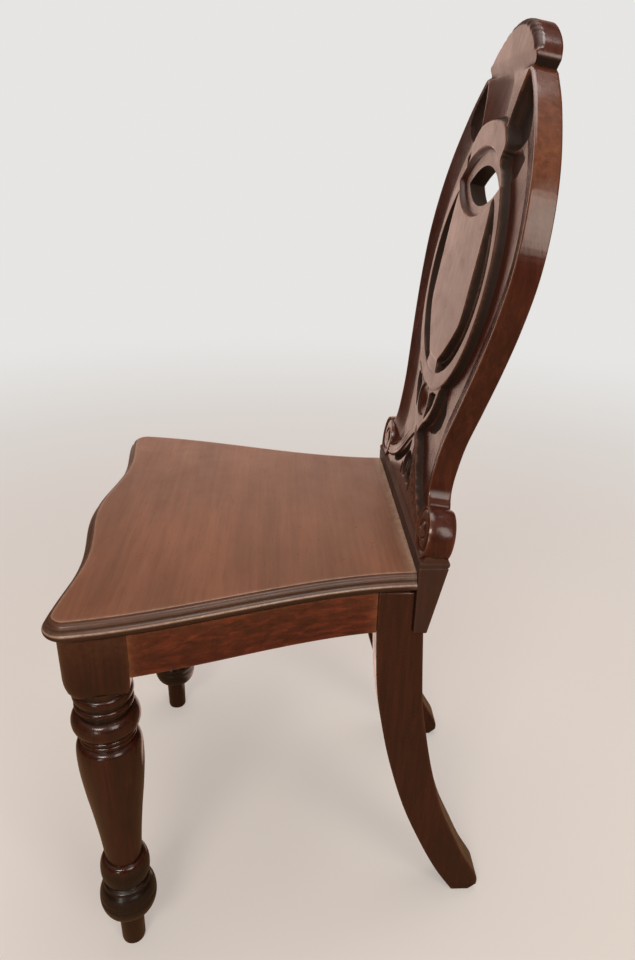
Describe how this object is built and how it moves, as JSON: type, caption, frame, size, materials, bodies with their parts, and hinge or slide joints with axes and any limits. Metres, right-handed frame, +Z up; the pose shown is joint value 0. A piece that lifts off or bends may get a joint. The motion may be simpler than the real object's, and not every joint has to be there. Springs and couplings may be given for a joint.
{
  "type": "hall chair",
  "caption": "Victorian-style hall chair with a solid serpentine seat, turned front legs, sabre rear legs and a carved, pierced balloon back.",
  "frame": {"origin": "on the floor, under the centre of the chair's bounding box", "axes": "+Z up; the chair faces -Y, so the back is towards +Y; the sitter's left is +X"},
  "size_m": [0.4488, 0.4397, 0.9091],
  "materials": {
    "polished_mahogany": "French-polished, glossy, worn pale on the raised edges",
    "seat_mahogany": "polished, slightly dulled by use",
    "turned_mahogany": "dark French polish, glossy",
    "frame_mahogany": "polished outside, plain inside",
    "block_pine": "plain sawn softwood",
    "screw_steel": "dull turned steel"
  },
  "bodies": {
    "root": {"seat_board": "seat_mahogany", "back_panel": "polished_mahogany", "front_leg_left": "turned_mahogany", "front_leg_right": "turned_mahogany", "rear_leg_left": "turned_mahogany", "rear_leg_right": "turned_mahogany", "front_rail": "frame_mahogany", "side_rail_left": "frame_mahogany", "side_rail_right": "frame_mahogany", "back_rail": "frame_mahogany", "corner_block_front_left": "block_pine", "corner_block_front_right": "block_pine", "corner_block_rear_left": "block_pine", "corner_block_rear_right": "block_pine", "block_screw_front_left_a": "screw_steel", "block_screw_front_left_b": "screw_steel", "block_screw_front_right_a": "screw_steel", "block_screw_front_right_b": "screw_steel", "block_screw_rear_left_a": "screw_steel", "block_screw_rear_left_b": "screw_steel", "block_screw_rear_right_a": "screw_steel", "block_screw_rear_right_b": "screw_steel", "seat_screw_front_left": "screw_steel", "seat_screw_front_right": "screw_steel", "seat_screw_back_left": "screw_steel", "seat_screw_back_right": "screw_steel", "seat_screw_side_left_1": "screw_steel", "seat_screw_side_left_2": "screw_steel", "seat_screw_side_right_1": "screw_steel", "seat_screw_side_right_2": "screw_steel", "back_screw_left_1": "screw_steel", "back_screw_left_2": "screw_steel", "back_screw_right_1": "screw_steel", "back_screw_right_2": "screw_steel"}
  },
  "joints": []
}
